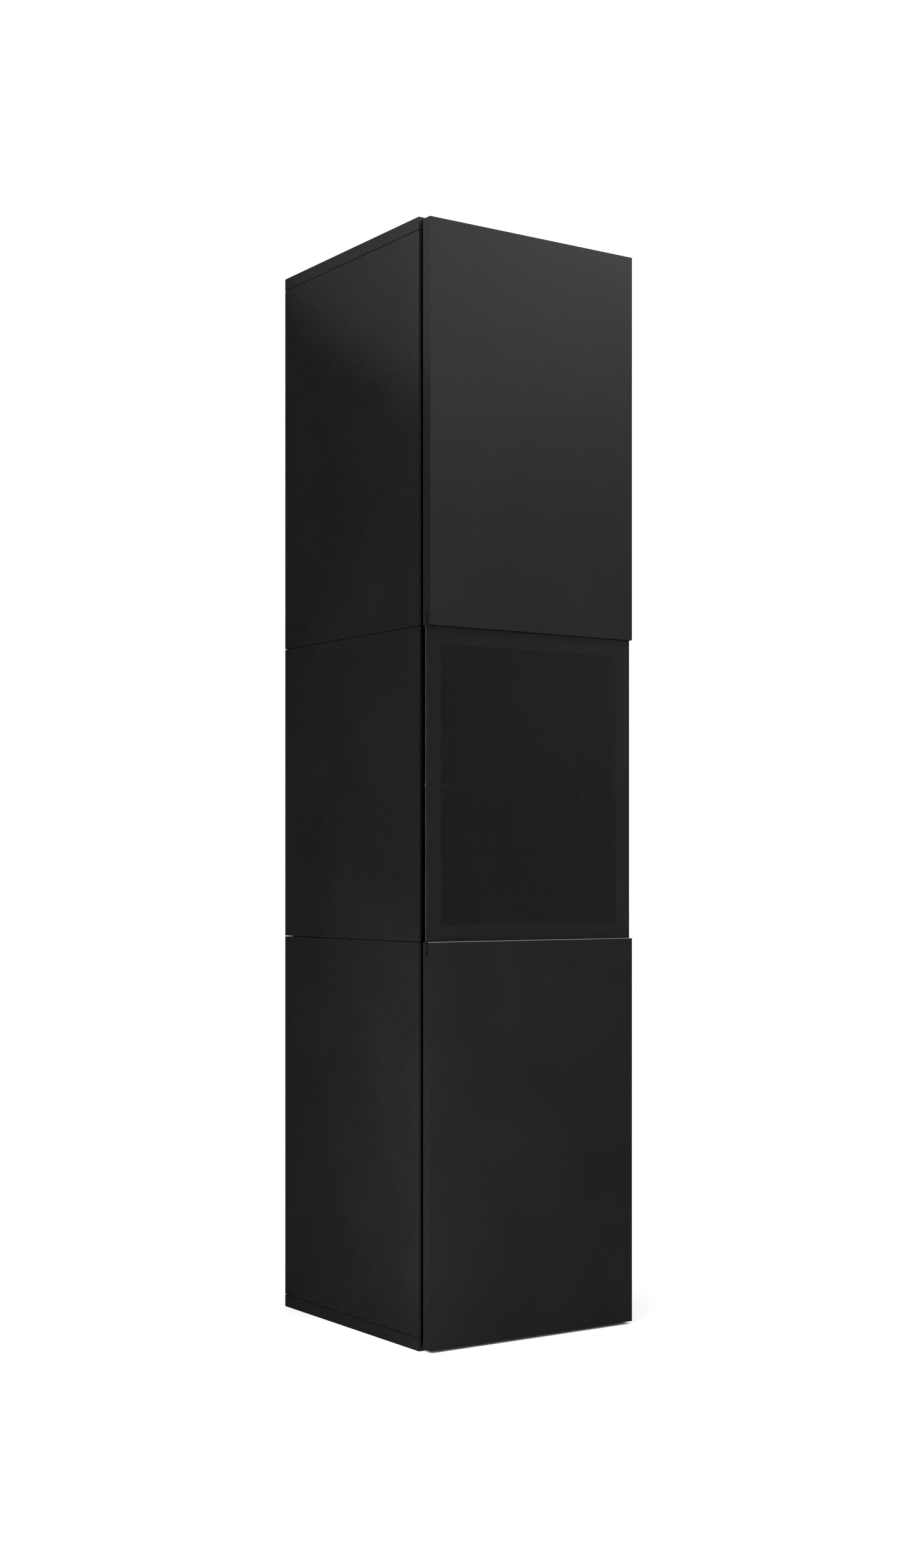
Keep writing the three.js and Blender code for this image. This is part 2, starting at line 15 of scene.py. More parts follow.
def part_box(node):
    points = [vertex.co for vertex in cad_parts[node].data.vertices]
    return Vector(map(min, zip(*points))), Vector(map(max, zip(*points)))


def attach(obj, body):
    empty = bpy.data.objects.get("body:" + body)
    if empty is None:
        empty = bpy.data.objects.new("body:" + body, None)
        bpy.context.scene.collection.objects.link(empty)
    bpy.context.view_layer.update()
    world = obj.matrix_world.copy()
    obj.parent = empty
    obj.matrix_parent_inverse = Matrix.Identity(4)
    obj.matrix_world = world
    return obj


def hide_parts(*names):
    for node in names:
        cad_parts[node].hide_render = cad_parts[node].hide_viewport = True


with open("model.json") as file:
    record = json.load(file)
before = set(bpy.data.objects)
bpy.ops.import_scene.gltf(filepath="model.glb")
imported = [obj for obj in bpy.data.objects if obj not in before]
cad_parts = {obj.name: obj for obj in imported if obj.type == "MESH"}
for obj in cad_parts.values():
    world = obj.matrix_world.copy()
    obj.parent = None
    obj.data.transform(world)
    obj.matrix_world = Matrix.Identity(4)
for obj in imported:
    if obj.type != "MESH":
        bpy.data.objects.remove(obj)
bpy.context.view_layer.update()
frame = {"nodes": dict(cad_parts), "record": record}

MM = 0.001
SCENE = bpy.context.scene
CASE, DOOR = "case", "door"
NODES = frame["nodes"]


def nodes_named(start):
    return sorted(name for name in NODES if name.startswith(start))


def last_word(name):
    return name.rsplit("_", 1)[1]


def middle_of(name):
    """The middle of a node's box, as x, y and z in metres."""
    return tuple((low + high) / 2 for low, high in zip(*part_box(name)))


# ---------------------------------------------------------------- camera, floor and light
CAMERA_AT = (-1.8165, -2.6886, 0.6705)
CAMERA_TURN = math.radians(34.106)  # to the right of straight ahead, along +Y
CAMERA_LENS = 48.74  # mm
CAMERA_SENSOR = 36  # mm, on the picture's long side
CAMERA_RISE = 0.0586  # lens shift, as a share of the picture's long side
CAMERA_RANGE = (0.05, 100)  # nearest and farthest that it sees, in metres

FLOOR_HALF = 30  # metres, from the middle to each edge
WORLD_STRENGTH = 1.1

# Soft boxes: name, place, what it points at, width and height in metres, power in watts.
SOFT_BOXES = [
    ("overhead", (0.2, -1.2, 4.2), (0, 0, 0.8), (2.4, 2.4), 4),
    ("front_wide", (3.2, -3.4, 1.2), (0, -0.2, 0.8), (2.4, 2.0), 7.8),
    ("front_right", (2.4, -2.8, 1.6), (0, -0.2, 0.9), (1.2, 1.2), 1.2),
    ("front_right_top", (1.0, -1.1, 2.3), (0.1, -0.2, 1.4), (0.6, 0.6), 11.5),
    ("edge_light", (1.6, -0.3, 2.9), (0, -0.2, 0.7), (0.4, 0.4), 8),
    ("rear_left", (-2.4, 2.4, 3.2), (-0.185, 0, 1.5), (1.2, 1.2), 1.5),
    ("rear_right", (2.2, 2.6, 2.2), (0.185, 0, 0.9), (1.6, 1.6), 4),
    ("left_strip", (-1.0, -0.6, 0.9), (-0.185, 0, 0.9), (0.3, 1.6), 8),
    ("left_upper", (-0.7, -0.7, 1.75), (-0.185, -0.1, 1.5), (0.3, 0.3), 2),
    ("left_low", (-0.62, -0.42, 0.3), (-0.185, -0.05, 0), (0.25, 0.25), 2.9),
]
# The lamp whose cone ends across the left side: place, aim, cone in degrees, softness, power.
CONE_LAMP = ((-1.39, 0.2, 2.21), (-0.185, -0.25, 2.25), 75, 0.23, 57)
CONE_LAMP_RADIUS = 0.02


def add_camera():
    data = bpy.data.cameras.new("camera")
    data.sensor_width = CAMERA_SENSOR
    data.lens = CAMERA_LENS
    data.shift_y = CAMERA_RISE
    data.clip_start, data.clip_end = CAMERA_RANGE
    camera = bpy.data.objects.new("camera", data)
    camera.location = CAMERA_AT
    camera.rotation_euler = (math.pi / 2, 0, -CAMERA_TURN)
    SCENE.collection.objects.link(camera)
    SCENE.camera = camera


def add_floor(paint):
    mesh = bpy.data.meshes.new("floor")
    half = FLOOR_HALF
    corners = [(-half, -half, 0), (half, -half, 0), (half, half, 0), (-half, half, 0)]
    mesh.from_pydata(corners, [], [(0, 1, 2, 3)])
    mesh.materials.append(paint)
    floor = bpy.data.objects.new("floor", mesh)
    SCENE.collection.objects.link(floor)
    floor.visible_glossy = False


def hang_light(name, data, at, towards, power):
    data.energy = power
    light = bpy.data.objects.new(name, data)
    light.location = at
    light.rotation_euler = (Vector(towards) - Vector(at)).to_track_quat("-Z", "Y").to_euler()
    light.visible_camera = False
    SCENE.collection.objects.link(light)


def add_lights():
    world = bpy.data.worlds.new("studio")
    world.use_nodes = True
    background = world.node_tree.nodes["Background"]
    background.inputs["Color"].default_value = (1, 1, 1, 1)
    background.inputs["Strength"].default_value = WORLD_STRENGTH
    world.cycles_visibility.glossy = False
    SCENE.world = world
    for name, at, towards, size, power in SOFT_BOXES:
        data = bpy.data.lights.new(name, "AREA")
        data.shape = "RECTANGLE"
        data.size, data.size_y = size
        hang_light(name, data, at, towards, power)
    at, towards, cone, softness, power = CONE_LAMP
    data = bpy.data.lights.new("cone_lamp", "SPOT")
    data.spot_size = math.radians(cone)
    data.spot_blend = softness
    data.shadow_soft_size = CONE_LAMP_RADIUS
    hang_light("cone_lamp", data, at, towards, power)
    SCENE.view_settings.view_transform = "Standard"


# ---------------------------------------------------------------- materials
class Paint:
    """A material with a Principled shader, and short calls that add and join its nodes."""

    def __init__(self, name, **sockets):
        self.material = bpy.data.materials.new(name)
        self.material.use_nodes = True
        self.tree = self.material.node_tree
        self.shader = self.tree.nodes["Principled BSDF"]
        for socket, value in sockets.items():
            self.shader.inputs[socket.replace("_", " ")].default_value = value
        coordinates = self.tree.nodes.new("ShaderNodeTexCoord")
        self.place = coordinates.outputs["Object"]

    def join(self, source, target):
        self.tree.links.new(source, target)

    def noise(self, scale, detail=4.0, roughness=0.55, stretch=(1, 1, 1)):
        mapping = self.tree.nodes.new("ShaderNodeMapping")
        mapping.inputs["Scale"].default_value = stretch
        self.join(self.place, mapping.inputs["Vector"])
        noise = self.tree.nodes.new("ShaderNodeTexNoise")
        noise.inputs["Scale"].default_value = scale
        noise.inputs["Detail"].default_value = detail
        noise.inputs["Roughness"].default_value = roughness
        self.join(mapping.outputs["Vector"], noise.inputs["Vector"])
        return noise.outputs["Fac"]

    def ramp(self, source, stops):
        """stops: pairs of a position and a grey level or a colour."""
        node = self.tree.nodes.new("ShaderNodeValToRGB")
        elements = node.color_ramp.elements
        while len(elements) < len(stops):
            elements.new(0.5)
        for element, (position, level) in zip(elements, stops):
            element.position = position
            colour = (level,) * 3 if isinstance(level, (int, float)) else level
            element.color = (*colour, 1)
        self.join(source, node.inputs["Fac"])
        return node.outputs["Color"]

    def add(self, first, second, share=0.5):
        node = self.tree.nodes.new("ShaderNodeMix")
        node.data_type = "FLOAT"
        node.inputs["Factor"].default_value = share
        self.join(first, node.inputs[2])
        self.join(second, node.inputs[3])
        return node.outputs[0]

    def colour(self, source):
        self.join(source, self.shader.inputs["Base Color"])

    def roughness(self, source):
        self.join(source, self.shader.inputs["Roughness"])

    def bump(self, height, strength, distance):
        """distance is the grain's depth in metres."""
        node = self.tree.nodes.new("ShaderNodeBump")
        node.inputs["Strength"].default_value = strength
        node.inputs["Distance"].default_value = distance
        self.join(height, node.inputs["Height"])
        self.join(node.outputs["Normal"], self.shader.inputs["Normal"])


def floor_paint():
    paint = Paint("floor_paint", Roughness=0.9, Specular_IOR_Level=0.0)
    soft = paint.noise(0.7, detail=2)
    paint.colour(paint.ramp(soft, [(0.3, 0.94), (0.7, 0.97)]))
    return paint.material


def board_paint():
    """Matt black melamine: a soft pressed grain, faint clouding and slightly uneven gloss."""
    paint = Paint("black_melamine", Specular_IOR_Level=0.32)
    clouds = paint.noise(7, detail=3)
    grain = paint.noise(1500, detail=2, roughness=0.6)
    pores = paint.noise(420, detail=3, roughness=0.5)
    mixed = paint.add(clouds, paint.add(grain, pores, 0.6), 0.6)
    paint.colour(paint.ramp(mixed, [(0.35, 0.0062), (0.65, 0.0098)]))
    paint.roughness(paint.ramp(pores, [(0.3, 0.49), (0.7, 0.61)]))
    paint.bump(paint.add(grain, pores, 0.5), 0.35, 0.12 * MM)
    return paint.material


def fibreboard_paint():
    """Thin painted fibreboard: short matted fibres under a dull coat."""
    paint = Paint("painted_fibreboard", Specular_IOR_Level=0.2)
    fibres = paint.noise(260, detail=6, roughness=0.7, stretch=(1, 1, 0.35))
    blotches = paint.noise(9, detail=3)
    mixed = paint.add(fibres, blotches, 0.4)
    paint.colour(paint.ramp(mixed, [(0.3, (0.013, 0.012, 0.011)), (0.7, (0.022, 0.021, 0.019))]))
    paint.roughness(paint.ramp(fibres, [(0.3, 0.66), (0.7, 0.82)]))
    paint.bump(fibres, 0.35, 0.15 * MM)
    return paint.material


GLASS_REFLECTION = 0.07  # share of clear glass's reflection that the dull pane keeps


def smoked_glass_paint():
    """Dark smoked glass with a faint warm body and the slight waviness of a float pane."""
    faint = (GLASS_REFLECTION,) * 3 + (1,)
    paint = Paint("smoked_glass", Transmission_Weight=0.967, IOR=1.5, Specular_Tint=faint)
    haze = paint.noise(5, detail=2)
    paint.colour(paint.ramp(haze, [(0.3, (0.168, 0.152, 0.145)), (0.7, (0.176, 0.160, 0.153))]))
    smears = paint.noise(28, detail=5, roughness=0.65, stretch=(1, 1, 0.4))
    paint.roughness(paint.ramp(smears, [(0.35, 0.10), (0.75, 0.16)]))
    paint.bump(paint.noise(3, detail=1), 0.02, 0.4 * MM)
    return paint.material


def shelf_glass_paint():
    paint = Paint("shelf_glass", Transmission_Weight=1.0, IOR=1.5)
    tint = paint.noise(4, detail=2)
    paint.colour(paint.ramp(tint, [(0.3, (0.50, 0.56, 0.53)), (0.7, (0.54, 0.60, 0.57))]))
    smears = paint.noise(22, detail=4)
    paint.roughness(paint.ramp(smears, [(0.35, 0.02), (0.75, 0.05)]))
    return paint.material


def print_paint():
    """Ceramic ink on the back of the pane, with the faint mottle of a screen print."""
    paint = Paint("printed_border", Specular_IOR_Level=0.3)
    mottle = paint.noise(900, detail=2)
    bands = paint.noise(30, detail=3)
    mixed = paint.add(mottle, bands, 0.5)
    paint.colour(paint.ramp(mixed, [(0.3, (0.170, 0.222, 0.200)), (0.7, (0.205, 0.262, 0.238))]))
    paint.roughness(paint.ramp(mottle, [(0.3, 0.55), (0.7, 0.7)]))
    return paint.material


def steel_paint():
    """Nickel-plated pressed steel with fine drawing lines and a few dull spots."""
    paint = Paint("nickel_steel", Metallic=0.9)
    lines = paint.noise(900, detail=3, stretch=(1, 0.06, 1))
    spots = paint.noise(60, detail=4)
    mixed = paint.add(lines, spots, 0.4)
    paint.colour(paint.ramp(mixed, [(0.3, (0.44, 0.43, 0.41)), (0.7, (0.60, 0.59, 0.56))]))
    paint.roughness(paint.ramp(mixed, [(0.3, 0.26), (0.7, 0.42)]))
    paint.bump(lines, 0.12, 0.05 * MM)
    return paint.material


def plastic_paint(name, dark, light):
    """Moulded plastic with a spark-eroded texture."""
    paint = Paint(name, Specular_IOR_Level=0.4)
    grain = paint.noise(1800, detail=2)
    clouds = paint.noise(40, detail=3)
    paint.colour(paint.ramp(paint.add(grain, clouds, 0.6), [(0.3, dark), (0.7, light)]))
    paint.roughness(paint.ramp(grain, [(0.3, 0.38), (0.7, 0.52)]))
    paint.bump(grain, 0.3, 0.05 * MM)
    return paint.material


BOARD = board_paint()
FIBREBOARD = fibreboard_paint()
SMOKED_GLASS = smoked_glass_paint()
SHELF_GLASS = shelf_glass_paint()
PRINT = print_paint()
LACQUER = plastic_paint("black_lacquer", 0.010, 0.016)
STEEL = steel_paint()
PLASTIC = plastic_paint("black_plastic", 0.012, 0.022)
BUFFER = plastic_paint("grey_buffer", 0.20, 0.30)
# painted highlight: light grey plastic for the strip along the lower door board's ledge, standing
# in for the highlight on that ledge's rounded edge
HIGHLIGHT_STRIP_PAINT = plastic_paint("painted_highlight_strip", 0.22, 0.30)
# painted shade: near-black plastic, darker than the boards, for the thin strips along the door
# boards' front corners, standing in for the shaded line there
SHADE_LINE_PAINT = plastic_paint("painted_shade_line", 0.0012, 0.0018)
PAINTS = {
    "black_melamine": BOARD,
    "back_board": FIBREBOARD,
    "smoked_glass": SMOKED_GLASS,
    "shelf_glass": SHELF_GLASS,
    "nickel_steel": STEEL,
    "black_plastic": PLASTIC,
}


# ---------------------------------------------------------------- the frame's own nodes
EDGE_ROUND = {
    "black_melamine": 0.2 * MM,
    "smoked_glass": 0.5 * MM,
    "shelf_glass": 0.5 * MM,
    "nickel_steel": 0.25 * MM,
    "black_plastic": 0.8 * MM,
}
WELD_REACH = 0.002 * MM  # joins the faces of a node, which come in loose
EASE_SEGMENTS = 2
EASE_ABOVE = 40  # degrees between two faces


def dress_nodes():
    """Each node gets its slot's paint, and its sharp edges are eased."""
    for part in frame["record"]["subparts"]:
        node = NODES[part["node"]]
        node.data.materials.clear()
        node.data.materials.append(PAINTS[part["material_slot"]])
        if part["material_slot"] in EDGE_ROUND:
            join = node.modifiers.new("joined_faces", "WELD")
            join.merge_threshold = WELD_REACH
            ease = node.modifiers.new("eased_edges", "BEVEL")
            ease.width = EDGE_ROUND[part["material_slot"]]
            ease.segments = EASE_SEGMENTS
            ease.limit_method = "ANGLE"
            ease.angle_limit = math.radians(EASE_ABOVE)


# ---------------------------------------------------------------- building pieces
SMOOTH_BELOW = 35  # degrees between two faces that are shaded as one surface


def piece(name, made, paint, body, smooth=SMOOTH_BELOW):
    """Makes an object of a bmesh, smooth below an angle in degrees, that rides on a body."""
    return place(name, mesh_of(made, name, paint, smooth), body)


def place(name, mesh, body, matrix=None):
    thing = bpy.data.objects.new(name, mesh)
    SCENE.collection.objects.link(thing)
    if matrix is not None:
        thing.matrix_world = matrix
    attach(thing, body)
    return thing


def turned(profile, sides=40):
    """A solid of revolution about +Z, from (radius, height) points in millimetres that start and
    end on the axis."""
    made = bmesh.new()
    rings = []
    for radius, height in profile:
        if radius == 0:
            rings.append([made.verts.new((0, 0, height * MM))])
            continue
        ring = []
        for side in range(sides):
            angle = 2 * math.pi * side / sides
            spot = (radius * math.cos(angle), radius * math.sin(angle), height)
            ring.append(made.verts.new(Vector(spot) * MM))
        rings.append(ring)
    for below, above in zip(rings, rings[1:]):
        for side in range(sides):
            after = (side + 1) % sides
            corners = [below[side % len(below)], below[after % len(below)]]
            corners += [above[after % len(above)], above[side % len(above)]]
            made.faces.new(list(dict.fromkeys(corners)))
    return made


def rounded_outline(width, height, radius, steps=6):
    """Points of a rectangle with round corners, about the origin, in millimetres."""
    points = []
    for turn, (x, y) in enumerate([(1, 1), (-1, 1), (-1, -1), (1, -1)]):
        for step in range(steps + 1):
            angle = math.pi / 2 * (turn + step / steps)
            points.append((
                x * (width / 2 - radius) + radius * math.cos(angle),
                y * (height / 2 - radius) + radius * math.sin(angle),
            ))
    return points


def slab(outline, low, high, edge=0.2):
    """An outline of (x, y) millimetres made into a slab from low to high along Z, with its upper
    rim chamfered by edge."""
    made = bmesh.new()
    middle = Vector([sum(axis) / len(outline) for axis in zip(*outline)])
    levels = []
    for height, inset in [(low, 0), (high - edge, 0), (high, edge)]:
        ring = []
        for point in outline:
            away = Vector(point) - middle
            drawn_in = away * (1 - inset / away.length)
            spot = middle + drawn_in
            ring.append(made.verts.new((spot.x * MM, spot.y * MM, height * MM)))
        levels.append(ring)
    made.faces.new(levels[0][::-1])
    made.faces.new(levels[-1])
    for below, above in zip(levels, levels[1:]):
        for index in range(len(outline)):
            after = (index + 1) % len(outline)
            made.faces.new([below[index], below[after], above[after], above[index]])
    return made


def facing(at, out):
    """A matrix that puts +Z along out and the origin at a place in metres."""
    z = Vector(out).normalized()
    x = Vector((0, 0, 1)).cross(z)
    if x.length < 1e-6:  # out is straight up or down
        x = Vector((1, 0, 0))
    x.normalize()
    y = z.cross(x)
    turn = Matrix((x, y, z)).transposed().to_4x4()
    return Matrix.Translation(Vector(at)) @ turn


# ---------------------------------------------------------------- screws
RECESS_REACH = 0.62  # half the length of a cross recess's arm, as a share of the head's radius
RECESS_HALF_WIDTH = 0.14  # the same share, for half the arm's width
RECESS_FLOOR = 0.3  # height of the recess's floor, as a share of the head's height


def cut(body_mesh, cutter_mesh, name):
    """The first mesh with the second taken out of it."""
    whole = bpy.data.objects.new("whole", body_mesh)
    tool = bpy.data.objects.new("tool", cutter_mesh)
    for thing in (whole, tool):
        SCENE.collection.objects.link(thing)
    taken = whole.modifiers.new("cut", "BOOLEAN")
    taken.operation, taken.solver, taken.object = "DIFFERENCE", "EXACT", tool
    bpy.context.view_layer.update()
    settled = whole.evaluated_get(bpy.context.evaluated_depsgraph_get())
    result = bpy.data.meshes.new_from_object(settled)
    result.name = name
    for thing in (whole, tool):
        bpy.data.objects.remove(thing)
    return result


def mesh_of(made, name, paint=None, smooth=SMOOTH_BELOW):
    mesh = bpy.data.meshes.new(name)
    bmesh.ops.recalc_face_normals(made, faces=made.faces)
    made.to_mesh(mesh)
    made.free()
    if paint:
        mesh.materials.append(paint)
    mesh.shade_smooth()
    mesh.set_sharp_from_angle(angle=math.radians(smooth))
    return mesh


def screw_mesh(radius=3.2, rise=1.1):
    """A pan-head screw with a cross recess, standing on z = 0."""
    profile = [(0, 0), (radius, 0), (radius, rise * 0.35), (radius * 0.92, rise * 0.7)]
    profile += [(radius * 0.7, rise * 0.93), (radius * 0.4, rise), (0, rise)]
    head = mesh_of(turned(profile, 32), "screw_head", STEEL)
    arm, half = radius * RECESS_REACH, radius * RECESS_HALF_WIDTH
    cross = [
        (arm, -half), (arm, half), (half, half), (half, arm), (-half, arm), (-half, half),
        (-arm, half), (-arm, -half), (-half, -half), (-half, -arm), (half, -arm), (half, -half),
    ]
    recess = mesh_of(slab(cross, rise * RECESS_FLOOR, rise + 1, 0), "screw_recess")
    result = cut(head, recess, "screw")
    result.materials.clear()
    result.materials.append(STEEL)
    result.shade_smooth()
    result.set_sharp_from_angle(angle=math.radians(SMOOTH_BELOW))
    return result


SCREW = screw_mesh()
SMALL_SCREW = screw_mesh(radius=2.2, rise=0.8)


def add_screw(name, at, out, body, mesh=SCREW):
    place(name, mesh, body, facing(at, out))


# ---------------------------------------------------------------- door
BORDER = 24 * MM  # width of the printed border
LAYER_THICKNESS = 0.12 * MM
LAYER_GAP = 0.02 * MM
LACQUER_MARGIN = 0.3 * MM  # how much wider the lacquer is than the print that it hides

# From here to the end of the fittings, every length is in millimetres.
STRIP_THICKNESS = 0.4
STRIP_INSET = 0.1  # behind the board's front face, and before the pane
STRIP_END_INSET = 0.5
NOSE_STEPS = 8

# Sizes of the painted shade lines along the door boards' front corners.
SHADE_LINE_WIDTH = 0.6
SHADE_LINE_HEIGHT = 0.05  # how far the line stands out of the board's side
SHADE_LINE_FROM_FRONT = 0.25
SHADE_LINE_END_INSET = 0.5

BUFFER_FROM_END = 60
BUFFER_FROM_EDGE = 9


def add_border_layer(name, paint, front, width):
    """One thin layer, framed, on the back of the pane and between the two door boards."""
    pane_low, pane_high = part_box("door_glass")
    lower_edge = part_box("door_board_lower")[1].z
    upper_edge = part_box("door_board_upper")[0].z
    outer = (pane_low.x, pane_high.x, lower_edge, upper_edge)
    inner = (outer[0] + width, outer[1] - width, outer[2] + width, outer[3] - width)
    made = bmesh.new()
    rings = []
    for y in (pane_high.y + front, pane_high.y + front + LAYER_THICKNESS):
        for left, right, bottom, top in (outer, inner):
            corners = [(left, bottom), (right, bottom), (right, top), (left, top)]
            rings.append([made.verts.new((x, y, z)) for x, z in corners])
    near_outer, near_inner, far_outer, far_inner = rings
    for first, second in (
        (near_outer, near_inner), (far_inner, far_outer),
        (near_outer, far_outer), (far_inner, near_inner),
    ):
        for index in range(4):
            after = (index + 1) % 4
            made.faces.new([first[index], first[after], second[after], second[index]])
    piece(name, made, paint, DOOR, smooth=5)


def add_printed_border():
    """A light print against the pane, with a black lacquer behind it that hides it from inside."""
    add_border_layer("glass_printed_border", PRINT, LAYER_GAP, BORDER)
    behind = 2 * LAYER_GAP + LAYER_THICKNESS
    add_border_layer("glass_border_lacquer", LACQUER, behind, BORDER + LACQUER_MARGIN)


def add_ledge_painted_highlight():
    """A thin light strip with a rounded nose, along the lower board's ledge before the pane: a
    painted highlight that stands in for the light caught by the ledge's rounded edge.
    """
    low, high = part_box("door_board_lower")
    pane_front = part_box("door_glass")[0].y
    back = (pane_front - low.y) / MM - STRIP_INSET
    nose = STRIP_THICKNESS / 2
    arc = [math.pi * (0.5 + step / NOSE_STEPS) for step in range(NOSE_STEPS + 1)]
    centre = STRIP_INSET + nose
    side = [(centre + nose * math.cos(turn), nose + nose * math.sin(turn)) for turn in arc]
    side += [(back, 0), (back, STRIP_THICKNESS)]
    made = bmesh.new()
    ends = []
    for x in (low.x + STRIP_END_INSET * MM, high.x - STRIP_END_INSET * MM):
        ends.append([made.verts.new((x, low.y + y * MM, high.z + z * MM)) for y, z in side])
    made.faces.new(ends[0])
    made.faces.new(ends[1][::-1])
    for index in range(len(side)):
        after = (index + 1) % len(side)
        made.faces.new([ends[0][after], ends[0][index], ends[1][index], ends[1][after]])
    piece("glass_ledge_painted_highlight", made, HIGHLIGHT_STRIP_PAINT, DOOR)


def add_painted_shade_lines():
    """A fine near-black strip beside each door board's front corners, where its edge band ends:
    painted shade that stands in for the shaded line at that corner.
    """
    for name in nodes_named("door_board"):
        low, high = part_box(name)
        height = (high.z - low.z) / MM - 2 * SHADE_LINE_END_INSET
        for side, x, direction in (("left", low.x, -1), ("right", high.x, 1)):
            outline = rounded_outline(SHADE_LINE_WIDTH, height, 0.2, steps=2)
            y = low.y + (SHADE_LINE_WIDTH / 2 + SHADE_LINE_FROM_FRONT) * MM
            at = (x, y, (low.z + high.z) / 2)
            label = name.replace("door_board", "painted_shade_line") + "_" + side
            line = mesh_of(slab(outline, 0, SHADE_LINE_HEIGHT, 0), label, SHADE_LINE_PAINT)
            place(label, line, DOOR, facing(at, (direction, 0, 0)))


def add_door_buffers():
    """Small soft buffers on the door's back, near its free edge."""
    profile = [(0, 0), (4, 0), (4, 0.5), (3.5, 1.2), (2.4, 1.7), (1.2, 1.9), (0, 1.95)]
    mesh = mesh_of(turned(profile), "door_buffer", BUFFER)
    for number, name in enumerate(nodes_named("door_board"), 1):
        low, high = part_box(name)
        reach = BUFFER_FROM_END * MM
        for end, z in (("low", low.z + reach), ("high", high.z - reach)):
            matrix = facing((low.x + BUFFER_FROM_EDGE * MM, high.y, z), (0, 1, 0))
            place(f"door_buffer_{number}_{end}", mesh, DOOR, matrix)


# ---------------------------------------------------------------- hinges
CUP_INNER = 16.4
CUP_OUTER = 17.2
CUP_DEPTH = 12
CUP_RIM = 1  # how far the rim stands out of the door's back
WING_SIZE = (17, 13)
WING_CORNER = 4.5
WING_THICKNESS = 1
WING_EDGE = 0.25
WING_STEP = 23  # from the cup's middle, up or down
CUP_SCREW_STEP = 24
PIN_RADIUS = 1.25
PIN_LENGTH = 23.8
PIN_ACROSS = 11.5  # from the cup's middle towards the hinge side
PIN_DEPTH = 8.5  # into the door
PLATE_WING = 2  # from the side wall to the face that a plate's screws stand on
PLATE_SCREW_STEP = 17
ARM_FACE = 2.7  # from the plate's inner face to the arm's, which its screws stand on
ARM_SCREWS = (("front", 12), ("rear", 33))  # name, and how far from the arm's rear end


def hinge_cup_mesh():
    """A drawn steel cup with a rolled rim, in millimetres, opening towards +Z."""
    floor = 0.6 - CUP_DEPTH
    profile = [
        (0, -CUP_DEPTH), (CUP_OUTER - 1.5, -CUP_DEPTH), (CUP_OUTER, 1.5 - CUP_DEPTH),
        (CUP_OUTER, 0), (CUP_OUTER + 1.2, 0), (CUP_OUTER + 1.4, 0.3), (CUP_OUTER + 1.2, 0.85),
        (CUP_OUTER + 0.6, CUP_RIM), (CUP_INNER + 0.4, CUP_RIM), (CUP_INNER, 0.6),
        (CUP_INNER, floor + 2),
        (CUP_INNER - 0.6, floor + 0.6), (CUP_INNER - 2, floor), (6, floor), (5, floor + 0.5),
        (0, floor + 0.5),
    ]
    return mesh_of(turned(profile, 72), "hinge_cup_shell", STEEL, smooth=40)


def add_hinge_cups():
    """Finer cups in place of the frame's, each with its pin, two screw wings and their screws."""
    cup = hinge_cup_mesh()
    for name in nodes_named("hinge_cup"):
        number = last_word(name)
        x, _, z = middle_of(name)
        centre = Vector((x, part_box(name)[1].y - CUP_RIM * MM, z))  # on the door's back face
        matrix = facing(centre, (0, 1, 0))
        shell = place(f"hinge_cup_shell_{number}", cup, DOOR, matrix)
        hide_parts(name)
        for side, sign in (("low", -1), ("high", 1)):
            wing = slab(rounded_outline(*WING_SIZE, WING_CORNER), 0, WING_THICKNESS, WING_EDGE)
            at = centre + Vector((0, 0, sign * WING_STEP * MM))
            mesh = mesh_of(wing, f"hinge_wing_{number}_{side}", STEEL)
            place(mesh.name, mesh, DOOR, facing(at, (0, 1, 0)))
            at = centre + Vector((0, WING_THICKNESS * MM, sign * CUP_SCREW_STEP * MM))
            add_screw(f"hinge_cup_screw_{number}_{side}", at, (0, 1, 0), DOOR)
        pin = turned([(0, 0), (PIN_RADIUS, 0), (PIN_RADIUS, PIN_LENGTH), (0, PIN_LENGTH)], 24)
        at = centre + Vector((PIN_ACROSS * MM, -PIN_DEPTH * MM, -PIN_LENGTH / 2 * MM))
        mesh = mesh_of(pin, f"hinge_pin_{number}", STEEL)
        place(mesh.name, mesh, DOOR, Matrix.Translation(at))


def add_hinge_screws():
    """Two wood screws in each mounting plate and two adjusting screws in each arm."""
    for name in nodes_named("hinge_plate"):
        number = last_word(name)
        low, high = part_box(name)
        _, y, z = middle_of(name)
        for side, step in (("low", -PLATE_SCREW_STEP), ("high", PLATE_SCREW_STEP)):
            at = (high.x - PLATE_WING * MM, y, z + step * MM)
            add_screw(f"hinge_plate_screw_{number}_{side}", at, (-1, 0, 0), CASE)
        arm_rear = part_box(f"hinge_arm_{number}")[1].y
        for end, step in ARM_SCREWS:
            at = (low.x - ARM_FACE * MM, arm_rear - step * MM, z)
            add_screw(f"hinge_arm_screw_{number}_{end}", at, (-1, 0, 0), CASE)


# ---------------------------------------------------------------- inside fittings
SHELF_PIN_OUT = 9
SHELF_PIN_IN_WALL = 8
LATCH_SCREWS = (12, 8)  # from the housing's front end, and from its rear end
STRIKE_SCREW_STEP = 5
COVER_MARGINS = (1, 2)  # how much narrower and lower a hanger's cover is than the hanger
COVER_CORNER = 2.5
COVER_THICKNESS = 1.6
COVER_EDGE = 0.5
COVER_SCREW_STEP = 14
CAP_FROM_ENDS = 34  # from the ends of a side wall or divider
CAP_FROM_FACES = 50  # from a divider's front and rear edges


